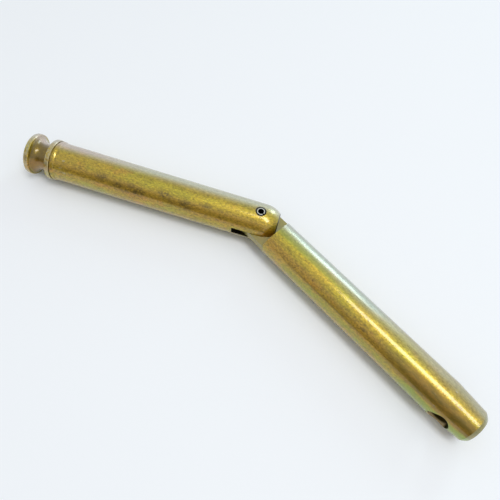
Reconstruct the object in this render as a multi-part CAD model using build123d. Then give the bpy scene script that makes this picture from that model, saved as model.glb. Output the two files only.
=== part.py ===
from build123d import *
import os

# Jointed hinge pin: two turned halves of one bar size, a fork and a tongue, held together
# by a slotted roll pin and lying bent on their side.
# Millimetres. +Z is up and is the roll pin's axis. The origin is where that axis crosses
# the bar's own axis. The head half lies along -X, the tail half turns about Z.

# bar and knuckle
bar_d = 25.4            # diameter of both shanks
bend = 30.5             # angle of the tail half from straight, as it lies
tongue_t = 5.0          # thickness of the tail half's tongue
side_gap = 0.2          # running gap between the tongue and each ear
ear_over = 0.2          # how much further than the bar's radius the ears' flat end stands from the pivot
ear_nose_w = 10.4       # length of the ears' turned nose
ear_nose_drop = 3.8     # how far the nose falls in from the bar's surface
ear_edge = 0.4          # chamfer round the ears' flat end
tongue_relief = 0.3     # how far the tongue's sides and its round end stand inside the bar's outline
shoulder_gap = 4.6      # gap between the ears' flat end, turned that way, and the middle of the shoulders
shoulder_cutter_r = 45.0    # radius of the disc cutter that leaves the hollow shoulders
slot_gap = 6.3          # gap between the tongue's round end and the bottom of the slot
slot_cutter_r = 25.0    # radius of the disc cutter that leaves the slot's hollow bottom

# roll pin
roll_d = 6.0
roll_wall = 1.0
roll_slit = 0.9         # width of the slit
roll_slit_at = -39.0    # where the slit faces, degrees from +X
roll_chamfer = 0.45
roll_sink = 0.2         # how far each end of the roll pin lies under the bar's surface
run_clear = 0.06        # radial clearance of the tail half on the roll pin
hole_break = 0.5        # chamfer at the mouths of the roll pin's hole

# head: bead, collar, neck, cove and rim, from the knuckle outward
bead_at = 138.0         # end of the plain shank
bead_w = 2.4
bead_h = 0.55           # height over the shank
groove_w = 0.9
groove_depth = 0.2      # below the shank
collar_w = 3.1
collar_h = 0.85
collar_chamfer = 0.4
neck_d = 18.4
neck_w = 5.7
cove_w = 5.2            # the cove sweeps up from the neck to the rim's back
cove_d = 25.2           # its widest
rim_w = 3.3
rim_d = 27.4
rim_round = 1.1         # outer edge
rim_chamfer = 0.6       # inner edge
crown_h = 0.8           # height of the domed end face

# tail: plain shank, taper and rounded nose
tail_shank = 154.3
taper_w = 19.1
taper_end_d = 22.2
nose_w = 2.7
nose_crown = 0.15       # how far the nose's bevel bulges
nose_face_d = 18.2

# cross hole for the linch pin
linch_d = 13.0
linch_mouth_d = 15.4
linch_at = 158.5        # from the knuckle
linch_turn = 9.5        # how far the hole is turned below level, degrees

bar_r = bar_d / 2
ear_reach = bar_r + ear_over
tongue_r = bar_r - tongue_relief
far = 4 * bar_d         # reach of cutting bodies


def turned(outline):
    """Turn a half outline, given as edges from axis to axis, about the bar's axis."""
    first, last = outline[0] @ 0, outline[-1] @ 1
    face = make_face(Wire(outline + [Line(last, first)]))
    return revolve(face, Axis.X, 360)


def head_blank():
    """The head half as turned: domed rim, cove, neck, collar, bead, shank and blunt nose."""
    bead_out = bead_at + bead_w
    collar_in = bead_out + groove_w
    collar_out = collar_in + collar_w
    cove_in = collar_out + neck_w
    rim_in = cove_in + cove_w
    rim_out = rim_in + rim_w
    neck_r, cove_r, rim_r = neck_d / 2, cove_d / 2, rim_d / 2
    groove_r = bar_r - groove_depth
    bead_r, collar_r = bar_r + bead_h, bar_r + collar_h
    nose_from, nose_r = ear_reach - ear_nose_w, bar_r - ear_nose_drop
    outline = [
        ThreePointArc((-rim_out - crown_h, 0), (-rim_out - 0.75 * crown_h, rim_r / 2), (-rim_out, rim_r)),
        Line((-rim_out, rim_r), (-rim_in, rim_r)),
        Line((-rim_in, rim_r), (-rim_in, cove_r)),
        TangentArc((-cove_in, neck_r), (-rim_in, cove_r), tangent=(-1, 0)),
        Line((-cove_in, neck_r), (-collar_out, neck_r)),
        Line((-collar_out, neck_r), (-collar_out, collar_r)),
        Line((-collar_out, collar_r), (-collar_in, collar_r)),
        Line((-collar_in, collar_r), (-collar_in, groove_r)),
        Line((-collar_in, groove_r), (-bead_out, groove_r)),
        Line((-bead_out, groove_r), (-bead_out, bead_r)),
        ThreePointArc((-bead_out, bead_r), (-bead_at - 0.45 * bead_w, bar_r + 0.85 * bead_h), (-bead_at, bar_r)),
        Line((-bead_at, bar_r), (nose_from, bar_r)),
        TangentArc((nose_from, bar_r), (ear_reach, nose_r), tangent=(1, 0)),
        Line((ear_reach, nose_r), (ear_reach, 0)),
    ]
    blank = turned(outline)
    blank = chamfer(ring_edges(blank, ear_reach, nose_r), ear_edge)
    blank = fillet(ring_edges(blank, -rim_out, rim_r), rim_round)
    blank = chamfer(ring_edges(blank, -rim_in, rim_r), rim_chamfer)
    collar_edges = ring_edges(blank, -collar_out, collar_r) + ring_edges(blank, -collar_in, collar_r)
    return chamfer(collar_edges, collar_chamfer)


def ring_edges(solid, x, r):
    """The circular edges of radius r that stand square to the bar's axis at x."""
    found = []
    for edge in solid.edges().filter_by(GeomType.CIRCLE):
        if abs(edge.center(CenterOf.BOUNDING_BOX).X - x) < 1e-3 and abs(edge.radius - r) < 1e-3:
            found.append(edge)
    return ShapeList(found)


def tail_blank():
    """The tail half as turned: shank, long shallow taper and rounded nose."""
    taper_at = tail_shank + taper_w
    nose_at = taper_at + nose_w
    taper_r, face_r = taper_end_d / 2, nose_face_d / 2
    outline = [
        Line((0, 0), (0, bar_r)),
        Line((0, bar_r), (tail_shank, bar_r)),
        Line((tail_shank, bar_r), (taper_at, taper_r)),
        SagittaArc((taper_at, taper_r), (nose_at, face_r), nose_crown),
        Line((nose_at, face_r), (nose_at, 0)),
    ]
    return turned(outline)


def cutter_run(radius, reach, height):
    """What a disc cutter of that radius removes when it comes in from +X as far as -reach."""
    centre = radius - reach
    disc = Pos(centre, 0, 0) * Cylinder(radius, height)
    return disc + Pos(centre + far / 2, 0, 0) * Box(far, 2 * radius, height)


def break_mouths(solid, radius):
    """Break the mouths of the roll pin's hole, top and bottom."""
    for side in (1, -1):
        cone = Cone(radius, radius + hole_break, hole_break)
        solid -= Pos(0, 0, side * (bar_r - hole_break / 2)) * Rot(0 if side > 0 else 180, 0, 0) * cone
    return solid


def head_half():
    """The forked half: a slot leaves two ears, bored for the roll pin."""
    slot_bottom = tongue_r + slot_gap
    solid = head_blank() - cutter_run(slot_cutter_r, slot_bottom, tongue_t + 2 * side_gap)
    solid -= Cylinder(roll_d / 2, far)
    return break_mouths(solid, roll_d / 2)


def tail_half():
    """The tongued half: a flat tongue let into hollow shoulders, a shank, taper and nose."""
    shoulder = ear_reach + shoulder_gap
    solid = tail_blank() - Rot(0, 0, 180) * cutter_run(shoulder_cutter_r, shoulder, far)
    solid += tongue(shoulder)
    solid -= Cylinder(roll_d / 2 + run_clear, far)
    solid -= linch_hole()
    return Rot(0, 0, -bend) * solid


def tongue(length):
    """A flat plate with a full round about the pivot, as long as from there to the shoulders."""
    plate = Pos(length / 2, 0, 0) * Box(length, 2 * tongue_r, tongue_t)
    return plate + Cylinder(tongue_r, tongue_t)


def linch_hole():
    """The cross hole with a countersunk mouth at each end, turned a little below level."""
    mouth_r, bore_r = linch_mouth_d / 2, linch_d / 2
    sink = mouth_r - bore_r
    tool = Cylinder(bore_r, far)
    tool += Pos(0, 0, bar_r - sink / 2) * Cone(bore_r, mouth_r, sink)
    tool += Pos(0, 0, -bar_r + sink / 2) * Cone(mouth_r, bore_r, sink)
    return Pos(linch_at, 0, 0) * Rot(90 + linch_turn, 0, 0) * tool


def roll_pin():
    """A slotted spring pin, chamfered at both ends, just under the bar's surface."""
    length = bar_d - 2 * roll_sink
    outer, inner = roll_d / 2, roll_d / 2 - roll_wall
    pin = chamfer(Cylinder(outer, length).edges().filter_by(GeomType.CIRCLE), roll_chamfer)
    pin -= Cylinder(inner, far)
    slit = Pos(roll_d / 2, 0, 0) * Box(roll_d, roll_slit, far)
    return pin - Rot(0, 0, roll_slit_at) * slit


os.makedirs("parts", exist_ok=True)
pieces = {"head_half": head_half(), "tail_half": tail_half(), "roll_pin": roll_pin()}
for name, piece in pieces.items():
    solids = piece.solids()
    print(name, len(solids), "solid", round(sum(s.volume for s in solids), 1), "mm3", piece.bounding_box())
    export_step(solids[0] if len(solids) == 1 else Compound(solids), f"parts/{name}.step")
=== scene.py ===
from math import cos, radians, sin

import bpy
from mathutils import Matrix, Vector


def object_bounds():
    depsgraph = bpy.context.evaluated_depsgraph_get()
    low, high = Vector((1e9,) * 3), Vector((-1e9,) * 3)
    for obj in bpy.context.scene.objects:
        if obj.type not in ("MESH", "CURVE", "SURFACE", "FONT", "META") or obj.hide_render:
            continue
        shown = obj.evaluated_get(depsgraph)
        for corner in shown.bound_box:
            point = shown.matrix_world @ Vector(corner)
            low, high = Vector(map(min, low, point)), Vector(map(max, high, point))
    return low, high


# A jointed hinge pin lying bent on a pale table. Metres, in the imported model's own frame:
# +Z up along the roll pin, the head half along -X, the tail half turned from +X towards -Y.

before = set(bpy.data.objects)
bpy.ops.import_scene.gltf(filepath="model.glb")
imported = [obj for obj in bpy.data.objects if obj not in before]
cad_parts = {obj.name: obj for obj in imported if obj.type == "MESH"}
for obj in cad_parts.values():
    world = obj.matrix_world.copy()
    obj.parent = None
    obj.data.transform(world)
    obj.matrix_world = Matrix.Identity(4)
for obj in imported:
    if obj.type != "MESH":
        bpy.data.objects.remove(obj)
cad_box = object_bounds()

MM = 0.001
BAR_RADIUS = 12.7               # millimetres
BEND = radians(30.5)            # the tail half's turn about +Z, as it lies
LINCH_AT = 158.5 * MM           # the cross hole's place along the tail half
LINCH_TURN = radians(9.5)       # how far the cross hole is turned below level
SLOT_CUTTER_AT = 6.3 * MM       # the slot's round bottom is cut about this place along the bar

# camera
CAMERA_AT = Vector((0.00959, -0.15876, 0.24895))
CAMERA_RIGHT = Vector((0.95535, 0.27162, 0.11629))
CAMERA_DOWN = Vector((0.29394, -0.83371, -0.46747))
CAMERA_SENSOR = 36.0
CAMERA_LENS = 31.813
CAMERA_SHIFT = (-0.00198, -0.00067)
CAMERA_NEAR = 0.01

# lamps: two soft boxes, one over the tail half and a window behind the pin
OVERHEAD_OUT, OVERHEAD_HEIGHT = 0.44, 1.45      # along the tail half's way, and up
OVERHEAD_AIM = 0.1                              # where along that way the box points
OVERHEAD_SIZE, OVERHEAD_POWER = (0.88, 0.42), 8.0
WINDOW_AZIMUTH, WINDOW_ELEVATION, WINDOW_DISTANCE = 65.0, 23.0, 1.5
WINDOW_SIZE, WINDOW_POWER = (0.36, 0.56), 3.0
WINDOW_COLOUR = (0.78, 0.95, 1.0)

# the room, as the metal mirrors it
ROOM = (0.76, 0.77, 0.78)
BACK_WALL = (1.0, 1.10, 1.22)
DARK_FRONT = (0.18, 0.16, 0.14)
FRONT_WAY = (-0.18, -0.98, 0.10)
WALL_BACK, WALL_LOW = (0.0, 0.6), (0.75, 0.35)  # where the wall begins and is full, in Y and in Z
FRONT_EDGE = (0.76, 0.99)       # cosines of the angle from FRONT_WAY
# the room's light on the table, at the horizon and from straight above
LIGHT_LOW = (0.25, 0.25, 0.255)
LIGHT_TOP = (1.115, 1.105, 1.10)

# table and backdrop
PAPER = (0.845, 0.882, 0.918)   # pale and slightly blue
PAPER_TOOTH = (0.81, 0.84, 0.87)
PAPER_NOISE = (60.0, 4.0, 0.6)  # scale, detail, roughness
TOOTH_STRENGTH, PAPER_ROUGHNESS = 0.06, 0.85
TABLE_HALF = 3.0
TABLE_FADE = (0.45, 1.2)        # distances between which the table takes the backdrop's colour

# plating colours, linear
GOLD = (0.405, 0.287, 0.020)
OLIVE = (0.36, 0.315, 0.02)
GREEN = (0.25, 0.35, 0.045)
COPPER = (0.50, 0.24, 0.03)
# these four are painted reflection: the colours of the pale strip behind the top, where the bright
# room behind is mirrored
SILVER_REFLECTION = (0.50, 0.52, 0.42)
LAVENDER_REFLECTION = (0.55, 0.44, 0.42)
ICE_REFLECTION = (0.36, 0.45, 0.44)
FAWN_REFLECTION = (0.38, 0.34, 0.20)
NOSE = (0.26, 0.29, 0.14)
TONGUE = (0.34, 0.31, 0.12)
BROWN = (0.22, 0.15, 0.012)
# painted shade for the neck's hollow between the rim and the collar
UMBER_SHADE = (0.115, 0.070, 0.001)

# wear and dirt, and painted shade and light
WORN = (0.50, 0.48, 0.34)
GRIME = (0.11, 0.08, 0.014)
# this colour is oil round the roll pin, and painted shade in the fork's slot, on the ears' round
# ends and in the cross hole's bore
SOOT_AND_SHADE = (0.012, 0.010, 0.008)
# painted light on the lower lip of the cross hole's mouths
LIP_LIGHT = (0.74, 0.55, 0.27)

# roll pin
OILED_STEEL = (0.02, 0.018, 0.014)
GROUND_STEEL = (0.66, 0.67, 0.60)
STEEL_GRAIN = (0.16, 0.15, 0.11)
STEEL_NOISE = (2500.0, 3.0, 0.6)
STEEL_ROUGH_LEAST, STEEL_ROUGH_VARIES, STEEL_GRAIN_STRENGTH = 0.32, 0.2, 0.3
PIN_END = (12.40, 12.46)        # height at which the oiled side gives way to the ground end

# Leans are angles round the bar in degrees, 0 on top and positive towards the camera's side.
# The pale strip behind the top, a painted reflection of the room behind, is full between the first
# two leans below and gone at the third.
REFLECTION_FULL, REFLECTION_FADE, REFLECTION_END = -28, -58, -78
REFLECTION_STRENGTH = 0.7
REFLECTION_TURNS = (70.0, 125.0)     # millimetres between which it takes the far end's tint
REFLECTION_DRIFT = 1.6               # how much the clouds move that change
# bands round the bar: from one lean to another, and how softly they end
WAIST = (44, 66, 16)            # copper above the lower side
LOWER_SIDE = (66, 125, 12)
CALM_SIDE = (-90, -25, 40)      # weaker grain behind the top
# painted shade in the neck's hollow, on its top and the camera's side
NECK_DARK = (-15, 120, 20)
NECK_COPPER = (62, 120, 14)
# painted dark reflection, mottled with stain, on the tail's far end
TAIL_DARK = (27, 63, 9)
TAIL_SEAM = (57, 60, 3)
TAIL_BROW = (-4, 6, 8)
TAIL_GREEN = (70, 84, 10)
TIP_GREEN = (76, 110, 12)

# bands along the bar, in millimetres: from, to, and how softly they end
BETWEEN_ENDS = (-158.3, 175.8, 0.2)
GROOVE = (-141.3, -140.4, 0.15)
NECK = (-154.5, -144.6, 1.0)
COLLAR = (-144.5, -141.4, 0.1)
RIM = (-159.1, -155.9, 0.3)
SEAM = (40.0, 92.0, 10.0)
TAIL_EDGE = (40.0, 108.0, 20.0)

# where a stain or a milled face begins and where it is full, in millimetres
EAR_END = (12.15, 12.35)        # these six: place along the bar
TONGUE_ROOT = (17.6, 15.5)
BROW_FADES = (100.0, 50.0)
TAIL_DARKENS = (95.0, 140.0)
TIP_BEGINS = (122.0, 136.0)
NOSE_BEGINS = (173.2, 173.6)
SLOT_WALL = (2.75, 2.72)        # these three: height over or under the bar's middle
TONGUE_FLAT = (2.6, 2.52)
PIN_MOUTH = (11.0, 11.8)
RAISED_OUTSIDE = (12.4, 12.9)   # these two: distance from the bar's axis
NOSE_OUTSIDE = (8.8, 9.2)
PIN_RING = (3.8, 3.4)           # distance from the roll pin's axis
SLOT_BOTTOM = (25.2, 25.1)      # distance from the axis of the slot's cutter
BORE_WALL = (6.75, 6.55)        # these two: distance from the cross hole's axis
LIP_RING = (8.2, 7.9)
LIP_LOWER = (-2.5, -4.5)        # height over the cross hole's axis
LIP_OUTSIDE = (7.5, 9.0)        # distance sideways from the bar's middle

# noises on the bar: stretch along it (under 1 makes streaks), scale, detail, roughness
CLOUDS = (0.45, 70.0, 3.0, 0.55)
PATCHES = (0.5, 120.0, 4.0, 0.65)
ISLANDS = (0.4, 130.0, 3.0, 0.6)
GRAIN = (0.62, 1000.0, 4.0, 0.75)
STREAKS = (0.08, 700.0, 2.0, 0.5)
MOTTLE = (0.35, 320.0, 4.0, 0.7)
CRUMBS = (1.0, 700.0, 3.0, 0.7)
PITS = (1.0, 1600.0, 2.0, 0.6)
RUBS = (1.0, 500.0, 3.0, 0.7)
GLOSS = (1.0, 90.0, 3.0, 0.6)

# the grain multiplies the colour by GRAIN_GAIN and STREAK_GAIN times the noises less GRAIN_DROP
GRAIN_GAIN, STREAK_GAIN, GRAIN_DROP = 2.9, 0.5, 0.70
GRAIN_LEAST = 0.3
GRAIN_CALMED = 0.6              # the share of it that CALM_SIDE takes away
BUMP_STREAKS = 0.8
BUMP_STRENGTH, BUMP_DEPTH = 0.25, 0.1 * MM
# gloss: the plating's least roughness, what noise adds and what dirt adds, and the film's own
ROUGH_LEAST, ROUGH_VARIES, ROUGH_DULL = 0.36, 0.14, 0.25
FILM_IOR, FILM_ROUGHNESS = 1.6, 0.14

# how the plating and its painted reflection strip differ between the halves; each half's strip
# begins at its own lean
HEAD_TINTS = {"back_reflection": SILVER_REFLECTION, "end_reflection": LAVENDER_REFLECTION, "reflection_from": 6, "green": 0.2}
TAIL_TINTS = {"back_reflection": ICE_REFLECTION, "end_reflection": FAWN_REFLECTION, "reflection_from": 12, "green": 0.6}
HEAD_SEED, TAIL_SEED = 0.0, 3.1

# marks: place along the bar in millimetres, lean, length in millimetres, strength
HEAD_SMUDGES = [
    (-105.0, 42, 13, 0.75), (-93.5, 52, 12, 0.75), (-89.0, 60, 9, 0.8), (-84.5, 44, 10, 0.6),
    (-80.5, 55, 15, 1.0), (-62.2, 38, 14, 1.0), (-57.0, 55, 9, 0.5), (-47.9, 50, 15, 0.85),
    (-34.3, 33, 11, 0.6),
]
HEAD_SPECKS = [(-131.8, 30, 3.0, 0.8), (-133.2, 52, 3.2, 0.6), (-130.5, 66, 3.0, 0.5)]
TAIL_SMUDGES = [(96.0, 44, 7, 0.6), (118.0, 50, 7, 0.5), (141.0, 45, 9, 0.6)]
TAIL_SPECKS = [(150.5, 59, 2.6, 1.0), (146.3, 35, 2.2, 0.8), (153.8, -9, 2.4, 0.8)]
MARK_SQUEEZE = 1.7              # marks are this much shorter round the bar than along it


class Graph:
    """Builds a node tree: each call adds a node, sets its fields and links or fills its inputs."""

    def __init__(self, tree):
        self.tree = tree
        tree.nodes.clear()

    def add(self, kind, fields=None, **inputs):
        node = self.tree.nodes.new(kind)
        for name, value in (fields or {}).items():
            setattr(node, name, value)
        for name, value in inputs.items():
            self.put(node.inputs[name.replace("_", " ")], value)
        return node

    def put(self, socket, value):
        if isinstance(value, bpy.types.NodeSocket):
            self.tree.links.new(value, socket)
        elif isinstance(value, tuple) and len(value) == 3 and len(socket.default_value) == 4:
            socket.default_value = (*value, 1.0)
        else:
            socket.default_value = value

    def math(self, operation, first, second=0.0, clamp=False):
        node = self.add("ShaderNodeMath", {"operation": operation, "use_clamp": clamp})
        self.put(node.inputs[0], first)
        self.put(node.inputs[1], second)
        return node.outputs[0]

    def times(self, *values):
        product = values[0]
        for value in values[1:]:
            product = self.math("MULTIPLY", product, value)
        return product

    def largest(self, *values):
        result = values[0]
        for value in values[1:]:
            result = self.math("MAXIMUM", result, value)
        return result

    def vector(self, operation, first, second=(0.0, 0.0, 0.0), output=0):
        node = self.add("ShaderNodeVectorMath", {"operation": operation})
        self.put(node.inputs[0], first)
        self.put(node.inputs[1], second)
        return node.outputs[output]

    def length(self, value):
        return self.vector("LENGTH", value, output=1)

    def dot(self, first, second):
        return self.vector("DOT_PRODUCT", first, second, output=1)

    def mix(self, factor, first, second, blend="MIX"):
        node = self.add("ShaderNodeMix", {"data_type": "RGBA", "blend_type": blend})
        self.put(node.inputs[0], factor)
        self.put(node.inputs[6], first)
        self.put(node.inputs[7], second)
        return node.outputs[2]

    def layered(self, colour, layers):
        """Lays tints over a colour, each one by the product of its amounts."""
        for tint, amounts in layers:
            colour = self.mix(self.times(*amounts), colour, tint)
        return colour

    def ramp(self, value, low, high):
        """0 below low, 1 above high, smooth between; high may be the smaller of the two."""
        flip = low > high
        node = self.add("ShaderNodeMapRange", {"interpolation_type": "SMOOTHSTEP"}, Value=value,
                        From_Min=min(low, high), From_Max=max(low, high),
                        To_Min=1.0 if flip else 0.0, To_Max=0.0 if flip else 1.0)
        return node.outputs[0]

    def mm_ramp(self, value, low, high):
        """A ramp between two millimetre values of a length that is in metres."""
        return self.ramp(value, low * MM, high * MM)

    def band(self, value, low, high, soft):
        """1 between low and high, falling to 0 over soft at each side."""
        return self.times(self.ramp(value, low - soft, low), self.ramp(value, high + soft, high))

    def noise(self, place, scale, detail, roughness):
        node = self.add("ShaderNodeTexNoise", Vector=place, Scale=scale, Detail=detail,
                        Roughness=roughness)
        return node.outputs["Fac"]


class BarPlace:
    """Places on a bar in its own frame: X along the bar from the knuckle, Z up."""

    def __init__(self, graph, turn, seed):
        raw = graph.add("ShaderNodeTexCoord").outputs["Object"]
        self.graph = graph
        self.point = graph.add("ShaderNodeMapping", {"vector_type": "POINT"}, Vector=raw,
                               Rotation=(0.0, 0.0, turn)).outputs[0]
        parts = graph.add("ShaderNodeSeparateXYZ", Vector=self.point)
        self.x, y, z = parts.outputs
        self.lean = graph.math("ARCTAN2", graph.math("MULTIPLY", y, -1.0), z)
        self.height = graph.math("ABSOLUTE", z)
        self.side = graph.math("ABSOLUTE", y)
        self.radius = graph.length(graph.vector("MULTIPLY", self.point, (0.0, 1.0, 1.0)))
        self.seeded = graph.vector("ADD", self.point, (seed, 0.37 * seed, 0.71 * seed))
        self.turned = self.along(*BETWEEN_ENDS)         # 0 on the two halves' end faces

    def noise(self, stretch, scale, detail, roughness):
        place = self.graph.add("ShaderNodeMapping", {"vector_type": "POINT"}, Vector=self.seeded,
                               Scale=(stretch, 1.0, 1.0)).outputs[0]
        return self.graph.noise(place, scale, detail, roughness)

    def along(self, low, high, soft):
        """1 between two places along the bar, in millimetres."""
        return self.graph.band(self.x, low * MM, high * MM, soft * MM)

    def around(self, low, high, soft):
        """1 between two leans, 0 on the bar's end faces."""
        band = self.graph.band(self.lean, radians(low), radians(high), radians(soft))
        return self.graph.times(band, self.turned)

    def mark(self, along, lean, length, strength):
        """1 at a mark on the bar's surface, 0 past its edge."""
        y, z = -BAR_RADIUS * MM * sin(radians(lean)), BAR_RADIUS * MM * cos(radians(lean))
        offset = self.graph.vector("SUBTRACT", self.point, (along * MM, y, z))
        offset = self.graph.vector("MULTIPLY", offset, (1.0, MARK_SQUEEZE, MARK_SQUEEZE))
        inside = self.graph.mm_ramp(self.graph.length(offset), 0.5 * length, 0.1 * length)
        return self.graph.times(inside, strength)

    def marks(self, rows):
        return self.graph.largest(0.0, *[self.mark(*row) for row in rows])


def new_material(name):
    material = bpy.data.materials.new(name)
    material.use_nodes = True
    return material, Graph(material.node_tree)


def plated_colour(graph, bar, back_reflection, end_reflection, reflection_from, green):
    """Yellow passivation: gold with olive, green and copper tints, and a painted reflection of the
    bright room behind, a pale strip behind the top. The strip turns from its back colour near
    the knuckle to its end colour at the far end."""
    clouds, patches, islands = bar.noise(*CLOUDS), bar.noise(*PATCHES), bar.noise(*ISLANDS)
    low = bar.around(*LOWER_SIDE)
    colour = graph.layered(GOLD, [
        (OLIVE, (graph.ramp(clouds, 0.40, 0.64), 0.75)),
        (COPPER, (bar.around(*WAIST), 0.35)),
        (COPPER, (low, graph.ramp(patches, 0.48, 0.62), 0.5)),
        (GREEN, (low, graph.ramp(islands, 0.50, 0.38), green)),
        (COPPER, (graph.ramp(patches, 0.56, 0.70), 0.45)),
    ])
    # painted reflection: the pale strip behind the top, mirroring the bright room behind, tinted
    # from the knuckle to the far end
    far = graph.mm_ramp(graph.math("ABSOLUTE", bar.x), *REFLECTION_TURNS)
    drift = graph.times(graph.math("SUBTRACT", clouds, 0.5), REFLECTION_DRIFT)
    tint = graph.mix(graph.math("ADD", far, drift, True), back_reflection, end_reflection)
    strip = graph.times(graph.ramp(bar.lean, radians(reflection_from), radians(REFLECTION_FULL)),
                        graph.ramp(bar.lean, radians(REFLECTION_END), radians(REFLECTION_FADE)),
                        bar.turned)
    return graph.mix(graph.times(strip, REFLECTION_STRENGTH), colour, tint)


def grain_shade(graph, bar, grain, streaks):
    """What the plating's colour is multiplied by for its grain, with less of it behind the top."""
    shade = graph.math("ADD", graph.times(grain, GRAIN_GAIN), graph.times(streaks, STREAK_GAIN))
    shade = graph.largest(graph.math("SUBTRACT", shade, GRAIN_DROP), GRAIN_LEAST)
    calm = graph.math("SUBTRACT", 1.0, graph.times(bar.around(*CALM_SIDE), GRAIN_CALMED))
    shade = graph.math("ADD", 1.0, graph.times(graph.math("SUBTRACT", shade, 1.0), calm))
    return graph.add("ShaderNodeCombineXYZ", X=shade, Y=shade, Z=shade).outputs[0]


def plated_steel(name, turn, seed, tints, smudges, specks, stains_and_shade):
    """Zinc plate under a yellow passivation film. The function given last adds what only one half
    has, its own marks and painted light and shade, and returns the colour, how dull it is and how
    metallic it is."""
    material, graph = new_material(name)
    bar = BarPlace(graph, turn, seed)
    colour = plated_colour(graph, bar, **tints)

    grain, streaks = bar.noise(*GRAIN), bar.noise(*STREAKS)
    colour = graph.mix(1.0, colour, grain_shade(graph, bar, grain, streaks), "MULTIPLY")

    crumbs = graph.ramp(bar.noise(*CRUMBS), 0.36, 0.56)
    pits = graph.ramp(bar.noise(*PITS), 0.68, 0.76)
    colour = graph.layered(colour, [
        (GRIME, (bar.marks(smudges), crumbs, 0.9)),
        (GRIME, (pits, 0.4)),
        (WORN, (bar.marks(specks), crumbs)),
    ])
    colour, dull, metallic = stains_and_shade(graph, bar, colour)

    rough = graph.math("ADD", ROUGH_LEAST, graph.times(bar.noise(*GLOSS), ROUGH_VARIES))
    rough = graph.math("ADD", rough, graph.times(dull, ROUGH_DULL), True)
    height = graph.math("ADD", grain, graph.times(streaks, BUMP_STREAKS))
    bump = graph.add("ShaderNodeBump", Strength=BUMP_STRENGTH, Distance=BUMP_DEPTH,
                     Height=height)
    shader = graph.add("ShaderNodeBsdfPrincipled", Base_Color=colour, Metallic=metallic,
                       Roughness=rough, Normal=bump.outputs[0])
    shader.inputs["Coat Weight"].default_value = 1.0
    shader.inputs["Coat IOR"].default_value = FILM_IOR
    shader.inputs["Coat Roughness"].default_value = FILM_ROUGHNESS
    graph.add("ShaderNodeOutputMaterial", Surface=shader.outputs[0])
    return material


def head_stains_and_shade(graph, bar, colour):
    """Oil round the roll pin, painted shade in the fork's slot, on the ears' round ends and in the
    neck's hollow, copper low in the neck, a darker groove and worn edges on the turned head.
    """
    flat = graph.vector("MULTIPLY", bar.point, (1.0, 1.0, 0.0))
    from_cutter = graph.length(graph.vector("SUBTRACT", flat, (SLOT_CUTTER_AT, 0.0, 0.0)))
    ring = graph.times(graph.mm_ramp(graph.length(flat), *PIN_RING),
                       graph.mm_ramp(bar.height, *PIN_MOUTH))
    # painted shade inside the fork's slot
    slot = graph.times(graph.mm_ramp(bar.height, *SLOT_WALL),
                       graph.mm_ramp(from_cutter, *SLOT_BOTTOM))
    # painted shade on the ears' round ends
    ear_end_shade = graph.times(graph.mm_ramp(bar.x, *EAR_END), 0.85)
    # oil round the roll pin, and the painted shade of the slot and the ears' ends
    oil_and_shade = graph.largest(ring, slot, ear_end_shade)

    groove, neck = bar.along(*GROOVE), bar.along(*NECK)
    raised = graph.largest(bar.along(*COLLAR), bar.along(*RIM))
    rubbed = graph.ramp(bar.noise(*RUBS), 0.36, 0.52)
    worn = graph.times(raised, rubbed, graph.mm_ramp(bar.radius, *RAISED_OUTSIDE))
    colour = graph.layered(colour, [
        (BROWN, (groove, 0.45)),
        # painted shade in the neck's hollow
        (UMBER_SHADE, (neck, bar.around(*NECK_DARK), 0.8)),
        (COPPER, (neck, bar.around(*NECK_COPPER), 0.35)),
        (WORN, (worn, 0.5)),
        (SOOT_AND_SHADE, (oil_and_shade, 0.97)),
    ])
    return colour, graph.largest(oil_and_shade, graph.times(groove, 0.6)), 1.0


def tail_stains_shade_and_light(graph, bar, colour):
    """A far end darkened by mottled stain and by painted dark reflection, a seam, green edges, the
    flatter milled tongue, and the cross hole with painted shade in its bore and painted light on
    its lower lip.
    """
    # the far end's dark band: painted dark reflection, mottled with stain
    end = graph.times(graph.mm_ramp(bar.x, *TAIL_DARKENS), bar.around(*TAIL_DARK))
    mottle = graph.ramp(bar.noise(*MOTTLE), 0.36, 0.62)
    nose = graph.times(graph.mm_ramp(bar.x, *NOSE_BEGINS),
                       graph.mm_ramp(bar.radius, *NOSE_OUTSIDE))
    tongue = graph.times(graph.mm_ramp(bar.height, *TONGUE_FLAT),
                         graph.mm_ramp(bar.x, *TONGUE_ROOT))
    bore, lip = linch_hole(graph, bar)
    colour = graph.layered(colour, [
        (BROWN, (end, graph.math("ADD", 0.6, graph.times(mottle, 0.4)))),
        (COPPER, (end, graph.math("SUBTRACT", 1.0, mottle), 0.3)),
        (NOSE, (nose, 0.5)),
        (BROWN, (bar.around(*TAIL_SEAM), bar.along(*SEAM), 0.6)),
        (GREEN, (bar.around(*TAIL_BROW), graph.mm_ramp(bar.x, *BROW_FADES), 0.4)),
        (GREEN, (bar.around(*TAIL_GREEN), bar.along(*TAIL_EDGE), 0.35)),
        (GREEN, (bar.around(*TIP_GREEN), graph.mm_ramp(bar.x, *TIP_BEGINS), 0.7)),
        (TONGUE, (tongue, 0.8)),
        # painted shade in the cross hole's bore, and painted light on its lower lip
        (SOOT_AND_SHADE, (bore, 0.85)),
        (LIP_LIGHT, (lip, 0.9)),
    ])
    # the painted light on the lower lip is not metallic
    metallic = graph.math("SUBTRACT", 1.0, graph.times(lip, 0.95))
    return colour, graph.largest(tongue, bore, lip), metallic


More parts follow.
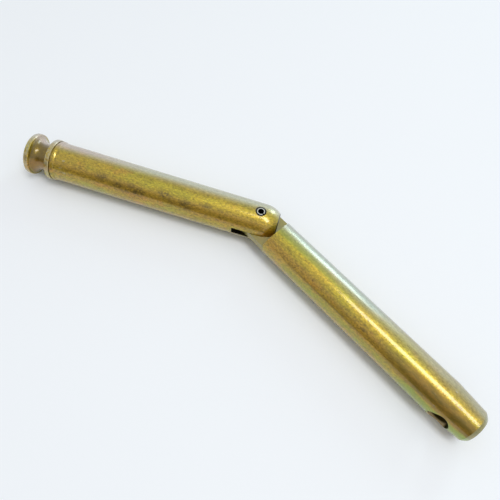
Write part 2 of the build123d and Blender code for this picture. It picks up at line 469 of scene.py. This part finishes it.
def linch_hole(graph, bar):
    """1 in the cross hole's bore, where shade is painted, and 1 on the lower lip of its mouths,
    where light is painted.
    """
    offset = graph.vector("SUBTRACT", bar.point, (LINCH_AT, 0.0, 0.0))
    way = (0.0, -cos(LINCH_TURN), -sin(LINCH_TURN))
    up = (0.0, -sin(LINCH_TURN), cos(LINCH_TURN))
    from_axis = graph.length(graph.vector("CROSS_PRODUCT", offset, way))
    bore = graph.mm_ramp(from_axis, *BORE_WALL)
    lip = graph.times(graph.mm_ramp(from_axis, *LIP_RING),
                      graph.mm_ramp(graph.dot(offset, up), *LIP_LOWER),
                      graph.mm_ramp(bar.side, *LIP_OUTSIDE))
    return bore, lip


def spring_steel():
    """The roll pin: bright ground ends, dark oiled sides and bore."""
    material, graph = new_material("spring_steel_look")
    place = graph.add("ShaderNodeTexCoord").outputs["Object"]
    parts = graph.add("ShaderNodeSeparateXYZ", Vector=place)
    end = graph.mm_ramp(graph.math("ABSOLUTE", parts.outputs["Z"]), *PIN_END)
    grain = graph.noise(place, *STEEL_NOISE)
    colour = graph.mix(end, OILED_STEEL, GROUND_STEEL)
    colour = graph.mix(graph.times(grain, STEEL_GRAIN_STRENGTH), colour, STEEL_GRAIN)
    rough = graph.math("ADD", STEEL_ROUGH_LEAST, graph.times(grain, STEEL_ROUGH_VARIES))
    shader = graph.add("ShaderNodeBsdfPrincipled", Base_Color=colour, Metallic=1.0,
                       Roughness=rough)
    graph.add("ShaderNodeOutputMaterial", Surface=shader.outputs[0])
    return material


def paper():
    """The pale table with the pin's shadow, which fades into the backdrop's colour far away."""
    material, graph = new_material("pale_table")
    place = graph.add("ShaderNodeTexCoord").outputs["Object"]
    tooth = graph.noise(place, *PAPER_NOISE)
    colour = graph.mix(graph.times(tooth, TOOTH_STRENGTH), PAPER, PAPER_TOOTH)
    shader = graph.add("ShaderNodeBsdfPrincipled", Base_Color=colour, Roughness=PAPER_ROUGHNESS)
    shader.inputs["Specular IOR Level"].default_value = 0.0
    glow = graph.add("ShaderNodeEmission", Color=PAPER, Strength=1.0)
    distance = graph.length(graph.vector("MULTIPLY", place, (1.0, 1.0, 0.0)))
    camera_ray = graph.add("ShaderNodeLightPath").outputs["Is Camera Ray"]
    blend = graph.add("ShaderNodeMixShader")
    graph.put(blend.inputs[0], graph.times(graph.ramp(distance, *TABLE_FADE), camera_ray))
    graph.put(blend.inputs[1], shader.outputs[0])
    graph.put(blend.inputs[2], glow.outputs[0])
    graph.add("ShaderNodeOutputMaterial", Surface=blend.outputs[0])
    return material


def dress(node, material):
    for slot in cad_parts[node].material_slots:
        slot.material = material


def add_floor():
    low, half = cad_box[0][2], TABLE_HALF
    corners = [(-half, -half, low), (half, -half, low), (half, half, low), (-half, half, low)]
    mesh = bpy.data.meshes.new("table_top")
    mesh.from_pydata(corners, [], [(0, 1, 2, 3)])
    floor = bpy.data.objects.new("table_top", mesh)
    bpy.context.collection.objects.link(floor)
    mesh.materials.append(paper())


def turn_of(side, up, back):
    """The rotation that takes X, Y and Z to three unit vectors."""
    return Matrix((side, up, back)).transposed().to_4x4()


def add_camera():
    data = bpy.data.cameras.new("camera")
    data.sensor_width = CAMERA_SENSOR
    data.lens = CAMERA_LENS
    data.shift_x, data.shift_y = CAMERA_SHIFT
    data.clip_start = CAMERA_NEAR
    camera = bpy.data.objects.new("camera", data)
    turn = turn_of(CAMERA_RIGHT, -CAMERA_DOWN, CAMERA_RIGHT.cross(-CAMERA_DOWN))
    camera.matrix_world = Matrix.Translation(CAMERA_AT) @ turn
    bpy.context.collection.objects.link(camera)
    bpy.context.scene.camera = camera


def add_lamp(name, place, target, along, size, power, colour=(1.0, 1.0, 1.0)):
    """A rectangular soft box at place that faces target, its first side along the given way."""
    data = bpy.data.lights.new(name, "AREA")
    data.shape = "RECTANGLE"
    data.size, data.size_y = size
    data.energy = power
    data.color = colour
    lamp = bpy.data.objects.new(name, data)
    back = (place - target).normalized()
    side = (along - back * along.dot(back)).normalized()
    lamp.matrix_world = Matrix.Translation(place) @ turn_of(side, back.cross(side), back)
    bpy.context.collection.objects.link(lamp)


def add_lamps():
    tail_way = Vector((cos(BEND), -sin(BEND), 0.0))
    overhead = tail_way * OVERHEAD_OUT + Vector((0.0, 0.0, OVERHEAD_HEIGHT))
    add_lamp("overhead_box", overhead, tail_way * OVERHEAD_AIM, tail_way, OVERHEAD_SIZE,
             OVERHEAD_POWER)
    az, el = radians(WINDOW_AZIMUTH), radians(WINDOW_ELEVATION)
    window = Vector((cos(el) * cos(az), cos(el) * sin(az), sin(el))) * WINDOW_DISTANCE
    add_lamp("window", window, Vector((0.0, 0.0, 0.0)), Vector((1.0, 0.0, 0.0)), WINDOW_SIZE,
             WINDOW_POWER, WINDOW_COLOUR)


def add_world():
    """A pale room: the camera sees the backdrop, the metal a bright back wall and a dark front."""
    world = bpy.data.worlds.new("room")
    bpy.context.scene.world = world
    world.use_nodes = True
    graph = Graph(world.node_tree)
    way = graph.add("ShaderNodeTexCoord").outputs["Generated"]
    parts = graph.add("ShaderNodeSeparateXYZ", Vector=way)
    wall = graph.times(graph.ramp(parts.outputs["Y"], *WALL_BACK),
                       graph.ramp(parts.outputs["Z"], *WALL_LOW))
    mirrored = graph.mix(wall, ROOM, BACK_WALL)
    front = graph.ramp(graph.dot(way, FRONT_WAY), *FRONT_EDGE)
    mirrored = graph.mix(front, mirrored, DARK_FRONT)
    rise = graph.math("POWER", graph.largest(parts.outputs["Z"], 0.0), 2.0)
    light = graph.mix(rise, LIGHT_LOW, LIGHT_TOP)
    path = graph.add("ShaderNodeLightPath")
    sharp = graph.math("ADD", path.outputs["Is Glossy Ray"],
                       path.outputs["Is Transmission Ray"], True)
    colour = graph.mix(sharp, light, mirrored)
    colour = graph.mix(path.outputs["Is Camera Ray"], colour, PAPER)
    background = graph.add("ShaderNodeBackground", Color=colour, Strength=1.0)
    graph.add("ShaderNodeOutputWorld", Surface=background.outputs[0])


bpy.context.scene.view_settings.view_transform = "Standard"
add_camera()
add_world()
add_floor()
add_lamps()

dress("head_half", plated_steel("plated_steel_head", 0.0, HEAD_SEED, HEAD_TINTS,
                                HEAD_SMUDGES, HEAD_SPECKS, head_stains_and_shade))
dress("tail_half", plated_steel("plated_steel_tail", BEND, TAIL_SEED, TAIL_TINTS,
                                TAIL_SMUDGES, TAIL_SPECKS, tail_stains_shade_and_light))
dress("roll_pin", spring_steel())
